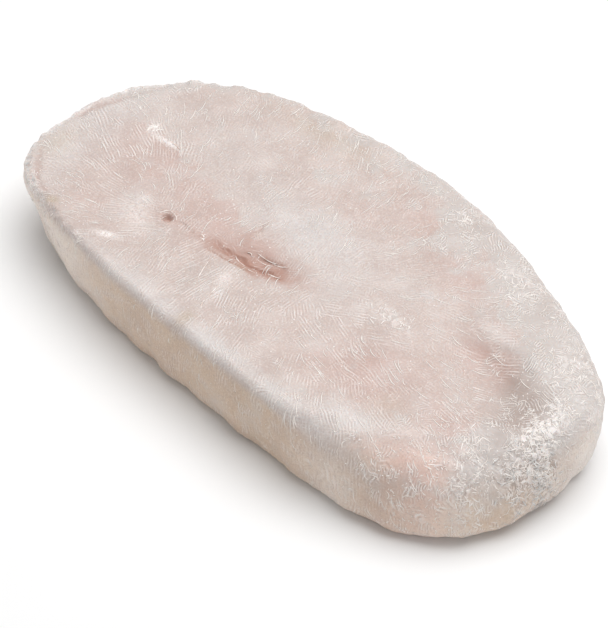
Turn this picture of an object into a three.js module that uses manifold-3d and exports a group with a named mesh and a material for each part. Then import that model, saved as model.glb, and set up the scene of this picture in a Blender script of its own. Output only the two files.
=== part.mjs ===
// A frozen, ice-glazed hake steak: one thick cross-cut slab of white fish lying flat.
// Millimetres, +Z up. X runs along the steak towards its rounded nose, Y towards its arched back.
// The origin is the middle of the outer box, on the flat underside.

import * as THREE from 'three';
import { mergeVertices } from 'three/addons/utils/BufferGeometryUtils.js';
import Module from 'manifold-3d';

// ---- Driving dimensions -------------------------------------------------------------------

const THICKNESS = 20;

// The outline seen from above: a long D with a straight front edge and an arched back.
const HALF_LENGTH = 67.1;
const FRONT_DEPTH = 35.3;
const BACK_DEPTH = 32.7;
const FRONT_SQUARENESS = 3.56;
const BACK_SQUARENESS = 2.04;
const END_LIFT = 4.1;
const OUTLINE_SHIFT = 1.4;
// Unevenness of the outline: waves round the steak, amplitude and phase in degrees.
const OUTLINE_WAVES = [
  { count: 3, height: 0.36, phase: -90 },
  { count: 4, height: 0.39, phase: 47 },
  { count: 5, height: 0.27, phase: -19 },
  { count: 6, height: 0.38, phase: 92 },
];

// How far the top edge is rounded, inwards and downwards, at three places.
const RIM = { inset: 2.5, drop: 3.0 };
const NOSE = { inset: 15, drop: 13, from: 18, to: 52 };
const BACK_SHOULDER = { inset: 6.5, drop: 4.8, from: 0, to: 50 };
const SIDE_CHANGE = { back: 8, front: -12 };

// The underside is a little smaller than the top and set towards the nose.
const BASE_SCALE = { x: 0.93, y: 0.97 };
const BASE_SHIFT = { x: 3.6, y: -0.6 };
const BASE_EDGE = 2;
const WALL_BULGE = 0.8;

// Broad forms of the cut top: a Gaussian rise or hollow at (x, y), turned by degrees.
const TOP_FORMS = [
  { name: 'pale muscle band', x: -4, y: 5, along: 20, across: 6, turn: 8, rise: 0.35 },
  { name: 'back muscle block', x: 22, y: 17, along: 22, across: 8, turn: -14, rise: 0.3 },
  { name: 'seam valley', x: -15, y: -11.5, along: 17, across: 3.2, turn: 11, rise: -0.4 },
  { name: 'seam trough', x: -8.5, y: -9.7, along: 10, across: 2.9, turn: 13, rise: -0.9 },
  { name: 'low hollow', x: 25, y: -18, along: 15, across: 7, turn: 10, rise: -0.8 },
  { name: 'dimple', x: 42, y: 2.2, along: 8.5, across: 5.2, turn: 6, rise: -2.0 },
  { name: 'dimple foot', x: 54, y: -0.5, along: 6.5, across: 5, turn: -10, rise: -1.5 },
  { name: 'dimple brow', x: 45, y: 10.6, along: 10, across: 2.4, turn: 0, rise: 0.55 },
  { name: 'front crest', x: 37, y: -25, along: 11, across: 3.4, turn: 28, rise: 0.55 },
  { name: 'left hollow', x: -45, y: -4, along: 13, across: 9, turn: 0, rise: -0.35 },
];
// Low waves of the cut face, as a knife leaves in half-frozen flesh.
const TOP_WAVES = [
  { height: 0.16, length: 23, turn: 70, phase: 20 },
  { height: 0.12, length: 13, turn: 15, phase: 130 },
  { height: 0.09, length: 8.5, turn: -40, phase: 250 },
];

// The splits between the muscle blocks, from end to end through a middle point.
const SPLITS = [
  { name: 'main', path: [[-21, -12.9], [-10.3, -11.2], [0, -8.6]], width: 1.7, depth: 0.8 },
  { name: 'lower', path: [[-20.1, -13.7], [-12.5, -13.8], [-4.4, -12.3]], width: 0.8, depth: 0.4 },
  { name: 'upper', path: [[-10.8, -8.8], [-6, -7.7], [-1.5, -6.9]], width: 1.5, depth: 0.4 },
  { name: 'branch', path: [[-13.4, -7.2], [-13.7, -4.4], [-14.4, -1]], width: 0.8, depth: 0.3 },
  { name: 'to the hole', path: [[-28.7, -14.3], [-24.5, -13.8], [-21.5, -13.1]], width: 0.9, depth: 0.35 },
];
const SPLIT_STATIONS = 12;

// The small round hole at the head of the seam.
const HOLE = { x: -29.8, y: -14.6, topRadius: 1.3, footRadius: 0.6, depth: 1.2, sides: 16 };

// Frost: ice crystals standing out of the glaze, in patches.
const FROST_SEED = 11;
const FROST_PATCHES = [
  { name: 'end', x: 60.5, y: -3, spreadX: 4, spreadY: 6.5, count: 34, size: 2.0 },
  { name: 'nose', x: 51, y: -19, spreadX: 6, spreadY: 2.6, count: 12, size: 1.8 },
  { name: 'left', x: -34.5, y: -18, spreadX: 3, spreadY: 1.6, count: 9, size: 1.8 },
  { name: 'left edge', x: -37, y: -27, spreadX: 2.4, spreadY: 1, count: 5, size: 1.6 },
  { name: 'front edge', x: 0, y: -28, spreadX: 3.5, spreadY: 1.4, count: 6, size: 1.8 },
  { name: 'back', x: 52, y: 16, spreadX: 6, spreadY: 3, count: 10, size: 1.8 },
];
const FROST_SLENDERNESS = 0.26;

// Fineness of the mesh.
const GRID_LONG = 50;
const GRID_SHORT = 32;
const ROUNDING_RINGS = 6;
const WALL_RINGS = 5;
// Steps in looking for the surface below a crystal on the rounded edge.
const EDGE_STEPS = 24;

const FLESH = new THREE.MeshStandardMaterial({ color: 0xdcccc5, roughness: 0.42, metalness: 0 });

// ---- Small helpers ------------------------------------------------------------------------

const rad = THREE.MathUtils.degToRad;

function smoothStep(from, to, value) {
  const t = THREE.MathUtils.clamp((value - from) / (to - from), 0, 1);
  return t * t * (3 - 2 * t);
}

function signedPower(value, exponent) {
  return Math.sign(value) * Math.abs(value) ** exponent;
}

function seededRandom(seed) {
  let state = seed;
  return () => {
    state = (state + 0x6d2b79f5) | 0;
    let t = Math.imul(state ^ (state >>> 15), 1 | state);
    t = (t + Math.imul(t ^ (t >>> 7), 61 | t)) ^ t;
    return ((t ^ (t >>> 14)) >>> 0) / 4294967296;
  };
}

// ---- Form of the slab ---------------------------------------------------------------------

// The widest outline, at an angle round the steak.
function outline(angle) {
  const c = Math.cos(angle);
  const s = Math.sin(angle);
  const squareness = s > 0 ? BACK_SQUARENESS : FRONT_SQUARENESS;
  const depth = s > 0 ? BACK_DEPTH : FRONT_DEPTH;
  const along = signedPower(c, 2 / squareness);
  const x = HALF_LENGTH * along;
  const y = depth * signedPower(s, 2 / squareness) + END_LIFT * along * (1 - s * s) + OUTLINE_SHIFT;
  let wave = 0;
  for (const { count, height, phase } of OUTLINE_WAVES) {
    wave += height * Math.cos(count * angle - rad(phase));
  }
  const grow = 1 + wave / Math.hypot(x, y);
  return { x: x * grow, y: y * grow };
}

// How the top edge rounds over above an outline point: broad on the nose, sharp on the left.
function rounding({ x, y }) {
  const front = smoothStep(SIDE_CHANGE.back, SIDE_CHANGE.front, y);
  const nose = front * smoothStep(NOSE.from, NOSE.to, x);
  const back = (1 - front) * smoothStep(BACK_SHOULDER.from, BACK_SHOULDER.to, x);
  return {
    inset: RIM.inset + nose * (NOSE.inset - RIM.inset) + back * (BACK_SHOULDER.inset - RIM.inset),
    drop: RIM.drop + nose * (NOSE.drop - RIM.drop) + back * (BACK_SHOULDER.drop - RIM.drop),
  };
}

// Height of the cut face above or below the plain slab.
function topRelief(x, y) {
  let z = 0;
  for (const form of TOP_FORMS) {
    const turn = rad(form.turn);
    const u = (x - form.x) * Math.cos(turn) + (y - form.y) * Math.sin(turn);
    const v = (y - form.y) * Math.cos(turn) - (x - form.x) * Math.sin(turn);
    z += form.rise * Math.exp(-((u / form.along) ** 2) - (v / form.across) ** 2);
  }
  for (const { height, length, turn, phase } of TOP_WAVES) {
    const u = x * Math.cos(rad(turn)) + y * Math.sin(rad(turn));
    z += height * Math.sin((2 * Math.PI * u) / length + rad(phase));
  }
  return z;
}

// A point of the rounded edge: step 0 is on the top face, 1 at the head of the wall.
function edgePoint(angle, step) {
  const edge = outline(angle);
  const { inset, drop } = rounding(edge);
  const turn = (step * Math.PI) / 2;
  const shrink = 1 - (inset / Math.hypot(edge.x, edge.y)) * (1 - Math.sin(turn));
  const x = edge.x * shrink;
  const y = edge.y * shrink;
  const z = THICKNESS - drop * (1 - Math.cos(turn)) + (1 - step) * topRelief(x, y);
  return [x, y, z];
}

// A point of the side wall: step 0 is its head, 1 where the bottom edge begins.
function wallPoint(angle, step) {
  const edge = outline(angle);
  const { drop } = rounding(edge);
  const bulge = 1 + (WALL_BULGE * 4 * step * (1 - step)) / Math.hypot(edge.x, edge.y);
  const scaleX = THREE.MathUtils.lerp(1, BASE_SCALE.x, step);
  const scaleY = THREE.MathUtils.lerp(1, BASE_SCALE.y, step);
  return [
    (edge.x * scaleX + BASE_SHIFT.x * step) * bulge,
    (edge.y * scaleY + BASE_SHIFT.y * step) * bulge,
    THREE.MathUtils.lerp(THICKNESS - drop, BASE_EDGE, step),
  ];
}

// The rim of the flat underside.
function basePoint(angle) {
  const [x, y] = wallPoint(angle, 1);
  const shrink = 1 - BASE_EDGE / Math.hypot(x, y);
  return [x * shrink, y * shrink, 0];
}

// A square grid point as an angle and a radius in the unit disc, evenly spread.
function gridToDisc(u, v) {
  if (u === 0 && v === 0) return { angle: 0, radius: 0 };
  if (Math.abs(u) > Math.abs(v)) {
    const angle = (Math.PI / 4) * (v / u) + (u < 0 ? Math.PI : 0);
    return { angle, radius: Math.abs(u) };
  }
  const angle = Math.PI / 2 - (Math.PI / 4) * (u / v) + (v < 0 ? Math.PI : 0);
  return { angle, radius: Math.abs(v) };
}

// The closed skin of the slab, without its splits, hole and frost.
function slabGeometry() {
  const positions = [];
  const triangles = [];
  const columns = GRID_LONG + 1;
  const rows = GRID_SHORT + 1;
  for (let row = 0; row < rows; row++) {
    for (let column = 0; column < columns; column++) {
      const { angle, radius } = gridToDisc((2 * column) / GRID_LONG - 1, (2 * row) / GRID_SHORT - 1);
      const [edgeX, edgeY] = edgePoint(angle, 0);
      const x = edgeX * radius;
      const y = edgeY * radius;
      positions.push(x, y, THICKNESS + topRelief(x, y));
    }
  }
  for (let row = 0; row < GRID_SHORT; row++) {
    for (let column = 0; column < GRID_LONG; column++) {
      const a = row * columns + column;
      const b = a + 1;
      const c = a + columns;
      const d = c + 1;
      const risesRight = (column < GRID_LONG / 2) === (row < GRID_SHORT / 2);
      if (risesRight) triangles.push(a, b, d, a, d, c);
      else triangles.push(a, b, c, b, d, c);
    }
  }

  // The grid's border, anticlockwise from its lower left corner, with the angle at each point.
  const border = [];
  const addBorder = (column, row) => {
    const { angle } = gridToDisc((2 * column) / GRID_LONG - 1, (2 * row) / GRID_SHORT - 1);
    border.push({ index: row * columns + column, angle });
  };
  for (let column = 0; column < GRID_LONG; column++) addBorder(column, 0);
  for (let row = 0; row < GRID_SHORT; row++) addBorder(GRID_LONG, row);
  for (let column = GRID_LONG; column > 0; column--) addBorder(column, GRID_SHORT);
  for (let row = GRID_SHORT; row > 0; row--) addBorder(0, row);

  // Rings down from the border: the rounded edge, the wall and the rim of the underside.
  const ringPoints = [];
  for (let i = 1; i <= ROUNDING_RINGS; i++) ringPoints.push((a) => edgePoint(a, i / ROUNDING_RINGS));
  for (let i = 1; i <= WALL_RINGS; i++) ringPoints.push((a) => wallPoint(a, i / WALL_RINGS));
  ringPoints.push(basePoint);
  let upper = border.map(({ index }) => index);
  for (const pointAt of ringPoints) {
    const lower = border.map(({ angle }) => positions.push(...pointAt(angle)) / 3 - 1);
    for (let i = 0; i < border.length; i++) {
      const next = (i + 1) % border.length;
      triangles.push(upper[i], lower[i], lower[next], upper[i], lower[next], upper[next]);
    }
    upper = lower;
  }

  const centre = positions.push(BASE_SHIFT.x, 0, 0) / 3 - 1;
  for (let i = 0; i < upper.length; i++) {
    triangles.push(centre, upper[(i + 1) % upper.length], upper[i]);
  }

  const geometry = new THREE.BufferGeometry();
  geometry.setAttribute('position', new THREE.Float32BufferAttribute(positions, 3));
  geometry.setIndex(triangles);
  return geometry;
}

// ---- Splits, hole and frost ---------------------------------------------------------------

// A narrow V-shaped cutter along a curved split, running out to a point at both ends.
function splitGeometry({ path, width, depth }) {
  const curve = new THREE.CatmullRomCurve3(path.map(([x, y]) => new THREE.Vector3(x, y, 0)));
  const positions = [];
  const triangles = [];
  const overhead = THICKNESS + 3;
  for (let i = 0; i <= SPLIT_STATIONS; i++) {
    const t = i / SPLIT_STATIONS;
    const middle = curve.getPoint(t);
    const along = curve.getTangent(t);
    const fullness = 0.06 + 0.94 * Math.sin(Math.PI * t) ** 1.1;
    const half = (width / 2) * fullness * (overhead - THICKNESS + depth) / depth;
    const foot = THICKNESS + topRelief(middle.x, middle.y) - depth * fullness;
    positions.push(middle.x - along.y * half, middle.y + along.x * half, overhead);
    positions.push(middle.x + along.y * half, middle.y - along.x * half, overhead);
    positions.push(middle.x, middle.y, foot);
  }
  for (let i = 0; i < SPLIT_STATIONS; i++) {
    const near = 3 * i;
    const far = near + 3;
    for (let side = 0; side < 3; side++) {
      const next = (side + 1) % 3;
      triangles.push(near + side, near + next, far + next, near + side, far + next, far + side);
    }
  }
  const last = 3 * SPLIT_STATIONS;
  triangles.push(0, 2, 1, last, last + 1, last + 2);
  const geometry = new THREE.BufferGeometry();
  geometry.setAttribute('position', new THREE.Float32BufferAttribute(positions, 3));
  geometry.setIndex(triangles);
  return geometry;
}

// The cutter of the small round hole, a blunt cone.
function holeGeometry() {
  const surface = THICKNESS + topRelief(HOLE.x, HOLE.y);
  const flare = (HOLE.topRadius - HOLE.footRadius) / HOLE.depth;
  const above = 2;
  const profile = [
    new THREE.Vector2(0, -HOLE.depth),
    new THREE.Vector2(HOLE.footRadius, -HOLE.depth),
    new THREE.Vector2(HOLE.topRadius + flare * above, above),
    new THREE.Vector2(0, above),
  ];
  const geometry = new THREE.LatheGeometry(profile, HOLE.sides);
  geometry.rotateX(Math.PI / 2);
  geometry.translate(HOLE.x, HOLE.y, surface);
  return geometry;
}

// The outline angle whose point lies in the same direction as (x, y), found by halving.
function outlineAngle(x, y) {
  const direction = Math.atan2(y, x);
  let low = direction - 0.6;
  let high = direction + 0.6;
  for (let i = 0; i < 30; i++) {
    const middle = (low + high) / 2;
    const edge = outline(middle);
    if (Math.sin(Math.atan2(edge.y, edge.x) - direction) > 0) high = middle;
    else low = middle;
  }
  return (low + high) / 2;
}

// The surface height at a point of the top or of the rounded edge below it.
function surfaceHeight(x, y) {
  const angle = outlineAngle(x, y);
  const reach = Math.hypot(x, y);
  const [topX, topY] = edgePoint(angle, 0);
  if (reach <= Math.hypot(topX, topY)) return THICKNESS + topRelief(x, y);
  for (let i = 1; i < EDGE_STEPS; i++) {
    const [edgeX, edgeY, z] = edgePoint(angle, i / EDGE_STEPS);
    if (Math.hypot(edgeX, edgeY) >= reach) return z;
  }
  return edgePoint(angle, 1)[2];
}

// One ice crystal, half sunk in the surface.
function crystalGeometry(x, y, size, turn, tilt) {
  const geometry = new THREE.OctahedronGeometry(size);
  geometry.scale(1, FROST_SLENDERNESS, FROST_SLENDERNESS);
  geometry.rotateY(tilt);
  geometry.rotateZ(turn);
  geometry.translate(x, y, surfaceHeight(x, y));
  return geometry;
}

// ---- The whole steak ----------------------------------------------------------------------

const wasm = await Module();
wasm.setup();

function toSolid(geometry) {
  const bare = geometry.clone();
  bare.deleteAttribute('normal');
  bare.deleteAttribute('uv');
  const merged = mergeVertices(bare, 1e-5);
  return new wasm.Manifold(new wasm.Mesh({
    numProp: 3,
    vertProperties: merged.attributes.position.array,
    triVerts: Uint32Array.from(merged.index.array),
  }));
}

function steakGeometry() {
  let solid = toSolid(slabGeometry());
  for (const split of SPLITS) solid = solid.subtract(toSolid(splitGeometry(split)));
  solid = solid.subtract(toSolid(holeGeometry()));
  const random = seededRandom(FROST_SEED);
  for (const patch of FROST_PATCHES) {
    for (let i = 0; i < patch.count; i++) {
      const away = Math.sqrt(random());
      const round = 2 * Math.PI * random();
      const x = patch.x + patch.spreadX * away * Math.cos(round);
      const y = patch.y + patch.spreadY * away * Math.sin(round);
      const size = patch.size * (0.5 + 0.5 * random());
      const turn = Math.PI * random();
      const tilt = 0.5 * (random() - 0.5);
      solid = solid.add(toSolid(crystalGeometry(x, y, size, turn, tilt)));
    }
  }
  const { vertProperties, triVerts } = solid.getMesh();
  const geometry = new THREE.BufferGeometry();
  geometry.setAttribute('position', new THREE.BufferAttribute(vertProperties, 3));
  geometry.setIndex(new THREE.BufferAttribute(triVerts, 1));
  geometry.computeBoundingBox();
  const middle = geometry.boundingBox.getCenter(new THREE.Vector3());
  geometry.translate(-middle.x, -middle.y, 0);
  geometry.computeVertexNormals();
  return geometry;
}

const steak = new THREE.Mesh(steakGeometry(), FLESH);
steak.name = 'hake_steak';

const hake = new THREE.Group();
hake.add(steak);

export default hake;
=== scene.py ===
"""A frozen, ice-glazed hake steak on a white table.

One slab of white fish with a flat cut face, a straight front, an arched back and a rounded nose.
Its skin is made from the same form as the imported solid, only much finer, and carries the seam with
its splits, the small hole, the crags of the rim and the furrows of the glaze. Ice grows on it as
needles, curls, grains, plates, chips and shards, all real meshes.

Lengths are millimetres unless a name ends in _m; MM turns them into metres.
"""

from __future__ import annotations

import logging
import math
from dataclasses import dataclass, field
from enum import Enum

import bpy
import numpy as np
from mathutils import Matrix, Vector


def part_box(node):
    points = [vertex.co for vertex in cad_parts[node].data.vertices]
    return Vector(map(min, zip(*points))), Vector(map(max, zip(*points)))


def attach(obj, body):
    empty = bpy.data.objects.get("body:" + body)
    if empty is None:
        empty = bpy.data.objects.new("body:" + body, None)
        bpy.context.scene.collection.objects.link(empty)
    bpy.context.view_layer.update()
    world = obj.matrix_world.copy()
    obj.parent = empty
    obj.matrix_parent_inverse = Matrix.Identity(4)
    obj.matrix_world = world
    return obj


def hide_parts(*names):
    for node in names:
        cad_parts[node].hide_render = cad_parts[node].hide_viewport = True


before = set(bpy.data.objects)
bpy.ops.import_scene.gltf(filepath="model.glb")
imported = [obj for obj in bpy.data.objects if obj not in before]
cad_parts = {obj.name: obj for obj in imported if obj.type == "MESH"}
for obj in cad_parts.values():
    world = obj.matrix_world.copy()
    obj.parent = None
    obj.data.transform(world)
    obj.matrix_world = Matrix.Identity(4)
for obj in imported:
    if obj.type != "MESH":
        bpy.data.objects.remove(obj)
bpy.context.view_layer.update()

log = logging.getLogger("hake")

MM = 0.001
NODE = "hake_steak"
BODY = "root"
UP = (0.0, 0.0, 1.0)

Array = np.ndarray
Pair = tuple[float, float]
Triple = tuple[float, float, float]
Colour = tuple[float, float, float]
Socket = bpy.types.NodeSocket
Piece = bpy.types.Object


# ---- Small helpers ----


def smooth_step(low: float, high: float, value: Array) -> Array:
    """Rises smoothly from 0 to 1 as a value goes from low to high."""
    share = np.clip((value - low) / (high - low), 0.0, 1.0)
    return share * share * (3.0 - 2.0 * share)


def bell(offset: Array, reach: float) -> Array:
    """A Gaussian bump, 1 where the offset is 0."""
    return np.exp(-((offset / reach) ** 2))


def signed_power(value: Array, exponent: Array | float) -> Array:
    """Raises a value's size to a power and keeps its sign."""
    return np.sign(value) * np.abs(value) ** exponent


def turned(x: Array, y: Array, degrees: float) -> tuple[Array, Array]:
    """Coordinates of places along and across a direction of the plan."""
    c, s = math.cos(math.radians(degrees)), math.sin(math.radians(degrees))
    return x * c + y * s, y * c - x * s


@dataclass(frozen=True)
class Unevenness:
    """Seeded random unevenness, a sum of plane waves of about one wavelength."""

    wavelength: float
    height: float
    seed: int
    squeeze: Triple = (1.0, 1.0, 1.0)
    waves: int = 36

    def at(self, points: Array) -> Array:
        """Height of the unevenness at points.

        Args:
            points: An (n, 3) array of places.

        Returns:
            One height for each point.
        """
        random = np.random.default_rng(self.seed)
        direction = random.normal(size=(self.waves, 3))
        direction /= np.linalg.norm(direction, axis=1, keepdims=True)
        length = self.wavelength * random.uniform(0.7, 1.5, self.waves)
        phase = random.uniform(0.0, 2.0 * math.pi, self.waves)
        angle = (points * self.squeeze) @ (direction * (2.0 * math.pi / length[:, None])).T + phase
        return self.height * math.sqrt(2.0 / self.waves) * np.cos(angle).sum(axis=1)

    def over(self, x: Array, y: Array) -> Array:
        """Height of the unevenness at places of the plan."""
        return self.at(np.stack([x, y, 0 * x], axis=1))


@dataclass(frozen=True)
class Blob:
    """A soft oval spot on the steak, seen from above."""

    x: float
    y: float
    along: float
    across: float
    strength: float = 1.0
    turn: float = 0.0

    def at(self, x: Array, y: Array) -> Array:
        """Strength of the spot at places of the plan."""
        u, v = turned(x - self.x, y - self.y, self.turn)
        return self.strength * np.exp(-((u / self.along) ** 2) - (v / self.across) ** 2)


@dataclass(frozen=True)
class Border:
    """A tint with a crisp edge along a line and a slow fade on the line's right-hand side."""

    start: Pair
    end: Pair
    reach: float
    strength: float
    crispness: float = 0.9
    end_fade: float = 6.0
    wobble: Unevenness = Unevenness(5.0, 1.1, 21)

    def at(self, x: Array, y: Array) -> Array:
        """Strength of the tint at places of the plan.

        Args:
            x: Places along the steak.
            y: Places across the steak.

        Returns:
            The strength at each place.
        """
        run = np.subtract(self.end, self.start)
        length = float(np.hypot(*run))
        run = run / length
        along = (x - self.start[0]) * run[0] + (y - self.start[1]) * run[1]
        beside = (x - self.start[0]) * run[1] - (y - self.start[1]) * run[0] + self.wobble.over(x, y)
        ends = smooth_step(-self.end_fade, self.end_fade, along)
        ends = ends * smooth_step(length + self.end_fade, length - self.end_fade, along)
        inside = smooth_step(-self.crispness, self.crispness, beside)
        return self.strength * inside * bell(np.clip(beside, 0.0, None), self.reach) * ends


Spots = tuple[Blob | Border, ...]


def spots(*rows: tuple[float, ...]) -> Spots:
    """Makes soft spots from rows of x, y, along, across, strength and turn."""
    return tuple(Blob(*row) for row in rows)


# ---- The form of the steak ----


@dataclass(frozen=True)
class Rounding:
    """How far the top edge is rounded, inwards and downwards, and from where to where it changes."""

    inset: float
    drop: float
    start: float = 0.0
    end: float = 1.0


@dataclass(frozen=True)
class Curve:
    """A curve through three places of the plan."""

    start: Pair
    middle: Pair
    end: Pair

    def line(self, count: int) -> tuple[Array, Array]:
        """Places along the curve and their share of its length.

        Args:
            count: Number of places.

        Returns:
            An (n, 2) array of places and the shares from 0 to 1.
        """
        share = np.linspace(0.0, 1.0, count)
        start, middle, end = (np.array(p) for p in (self.start, self.middle, self.end))
        control = 2.0 * middle - 0.5 * (start + end)
        t = share[:, None]
        return (1 - t) ** 2 * start + 2 * t * (1 - t) * control + t**2 * end, share


@dataclass(frozen=True)
class Split(Curve):
    """A split between muscle blocks: a V-shaped groove along its curve."""

    width: float
    depth: float
    stain: float = 1.0
    end_fullness: float = 0.06
    taper: float = 1.1

    def nearness(self, x: Array, y: Array) -> tuple[Array, Array]:
        """Distance from the split, and how full the split is at the nearest place.

        Args:
            x: Places along the steak.
            y: Places across the steak.

        Returns:
            The distances, and the fullness from nearly 0 at the ends to 1.
        """
        line, share = self.line(60)
        gap = np.hypot(x[:, None] - line[:, 0], y[:, None] - line[:, 1])
        nearest = gap.argmin(axis=1)
        swell = np.abs(np.sin(math.pi * share[nearest])) ** self.taper
        fullness = self.end_fullness + (1.0 - self.end_fullness) * swell
        return gap[np.arange(len(x)), nearest], fullness


@dataclass(frozen=True)
class Pit:
    """The small round hole at the head of the seam, with a low lip round it."""

    x: float = -29.8
    y: float = -14.6
    top_radius: float = 1.3
    foot_radius: float = 0.6
    depth: float = 1.2
    lip_radius: float = 1.9
    lip_width: float = 0.45
    lip_height: float = 0.22
    stain: float = 0.42
    stain_radii: Pair = (0.4, 1.7)


@dataclass(frozen=True)
class SteakForm:
    """The true form of the slab, from its named sizes."""

    thickness: float = 20.0
    half_length: float = 67.1
    front_depth: float = 35.3
    back_depth: float = 32.7
    front_squareness: float = 3.56
    back_squareness: float = 2.04
    end_lift: float = 4.1
    outline_shift: float = 1.4
    # Waves round the outline: how many, how high, and their phase in degrees.
    outline_waves: tuple[Triple, ...] = ((3, 0.36, -90.0), (4, 0.39, 47.0), (5, 0.27, -19.0), (6, 0.38, 92.0))
    rim: Rounding = Rounding(2.5, 3.0)
    nose: Rounding = Rounding(15.0, 13.0, 18.0, 52.0)
    back_shoulder: Rounding = Rounding(6.5, 4.8, 0.0, 50.0)
    side_change: Pair = (8.0, -12.0)
    base_scale: Pair = (0.93, 0.97)
    base_shift: Pair = (3.6, -0.6)
    base_edge: float = 2.0
    wall_bulge: float = 0.8
    top_forms: Spots = spots(
        (-4, 5, 20, 6, 0.35, 8), (22, 17, 22, 8, 0.3, -14), (-15, -11.5, 17, 3.2, -0.4, 11),
        (-8.5, -9.7, 10, 2.9, -0.9, 13), (25, -18, 15, 7, -0.8, 10), (42, 2.2, 8.5, 5.2, -2.0, 6),
        (54, -0.5, 6.5, 5, -1.5, -10), (45, 10.6, 10, 2.4, 0.55), (37, -25, 11, 3.4, 0.55, 28),
        (-45, -4, 13, 9, -0.35),
    )
    # Low waves left by the knife: height, length, turn and phase in degrees.
    top_waves: tuple[tuple[float, ...], ...] = (
        (0.16, 23.0, 70.0, 20.0), (0.12, 13.0, 15.0, 130.0), (0.09, 8.5, -40.0, 250.0))
    splits: tuple[Split, ...] = (
        Split((-21.0, -12.9), (-10.3, -11.2), (0, -8.6), 1.7, 0.8, 0.42),
        Split((-20.1, -13.7), (-12.5, -13.8), (-4.4, -12.3), 0.8, 0.4, 0.75),
        Split((-10.8, -8.8), (-6, -7.7), (-1.5, -6.9), 1.5, 0.4, 0.4),
        Split((-13.4, -7.2), (-13.7, -4.4), (-14.4, -1.0), 0.8, 0.3, 0.15),
        Split((-28.7, -14.3), (-24.5, -13.8), (-21.5, -13.1), 0.9, 0.35, 0.08),
    )
    split_shakes: tuple[Unevenness, Unevenness] = (Unevenness(1.6, 0.16, 41), Unevenness(4.2, 0.32, 42))
    pit: Pit = Pit()

    def outline(self, angle: Array) -> tuple[Array, Array]:
        """The widest outline round the steak.

        Args:
            angle: Angles in radians.

        Returns:
            The outline's x and y.
        """
        c, s = np.cos(angle), np.sin(angle)
        squareness = np.where(s > 0, self.back_squareness, self.front_squareness)
        depth = np.where(s > 0, self.back_depth, self.front_depth)
        along = signed_power(c, 2.0 / squareness)
        x = self.half_length * along
        y = depth * signed_power(s, 2.0 / squareness) + self.end_lift * along * (1.0 - s * s)
        y = y + self.outline_shift
        wave = sum(h * np.cos(n * angle - math.radians(p)) for n, h, p in self.outline_waves)
        grow = 1.0 + wave / np.hypot(x, y)
        return x * grow, y * grow

    def rounding(self, x: Array, y: Array) -> tuple[Array, Array]:
        """How the top edge rounds over: broad on the nose, sharp on the left.

        Args:
            x: The outline's x.
            y: The outline's y.

        Returns:
            The inset and the drop of the rounding.
        """
        front = smooth_step(*self.side_change, y)
        inset, drop = self.rim.inset, self.rim.drop
        for side, part in ((front, self.nose), (1.0 - front, self.back_shoulder)):
            share = side * smooth_step(part.start, part.end, x)
            inset = inset + share * (part.inset - self.rim.inset)
            drop = drop + share * (part.drop - self.rim.drop)
        return inset, drop

    def relief(self, x: Array, y: Array) -> Array:
        """Height of the cut face above or below the plain slab.

        Args:
            x: Places along the steak.
            y: Places across the steak.

        Returns:
            The height at each place.
        """
        z = sum(form.at(x, y) for form in self.top_forms)
        for height, length, turn, phase in self.top_waves:
            z = z + height * np.sin(2.0 * math.pi * turned(x, y, turn)[0] / length + math.radians(phase))
        return z

    def shaken(self, x: Array, y: Array) -> tuple[Array, Array]:
        """Places of the plan moved a little at random, which makes the splits' edges uneven."""
        return x + self.split_shakes[0].over(x, y), y + self.split_shakes[1].over(x, y)

    def carving(self, x: Array, y: Array) -> Array:
        """Height of the splits and the hole, mostly below the cut face.

        Args:
            x: Places along the steak.
            y: Places across the steak.

        Returns:
            The height at each place.
        """
        z = np.zeros_like(x)
        u, v = self.shaken(x, y)
        for split in self.splits:
            gap, fullness = split.nearness(u, v)
            z = np.minimum(z, -split.depth * fullness * smooth_step(0.6 * split.width * fullness, 0.0, gap))
        reach = np.hypot(x - self.pit.x, y - self.pit.y)
        sunk = 1.0 - smooth_step(self.pit.foot_radius, self.pit.top_radius, reach)
        lip = bell(reach - self.pit.lip_radius, self.pit.lip_width)
        return z - self.pit.depth * sunk + self.pit.lip_height * lip

    def edge(self, angle: Array, step: Array | float) -> Array:
        """Points of the rounded edge.

        Args:
            angle: Angles round the steak.
            step: 0 on the cut face, 1 at the head of the wall.

        Returns:
            An (n, 3) array of points.
        """
        x, y = self.outline(angle)
        inset, drop = self.rounding(x, y)
        turn = step * math.pi / 2.0
        shrink = 1.0 - inset / np.hypot(x, y) * (1.0 - np.sin(turn))
        x, y = x * shrink, y * shrink
        z = self.thickness - drop * (1.0 - np.cos(turn)) + (1.0 - step) * self.relief(x, y)
        return np.stack([x, y, z], axis=1)

    def wall(self, angle: Array, step: float) -> Array:
        """Points of the side wall.

        Args:
            angle: Angles round the steak.
            step: 0 at the wall's head, 1 where the bottom edge begins.

        Returns:
            An (n, 3) array of points.
        """
        x, y = self.outline(angle)
        drop = self.rounding(x, y)[1]
        bulge = 1.0 + self.wall_bulge * 4.0 * step * (1.0 - step) / np.hypot(x, y)
        x, y = ((value * (1.0 + (scale - 1.0) * step) + shift * step) * bulge
                for value, scale, shift in zip((x, y), self.base_scale, self.base_shift))
        z = (self.thickness - drop) * (1.0 - step) + self.base_edge * step
        return np.stack([x, y, z], axis=1)

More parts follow.
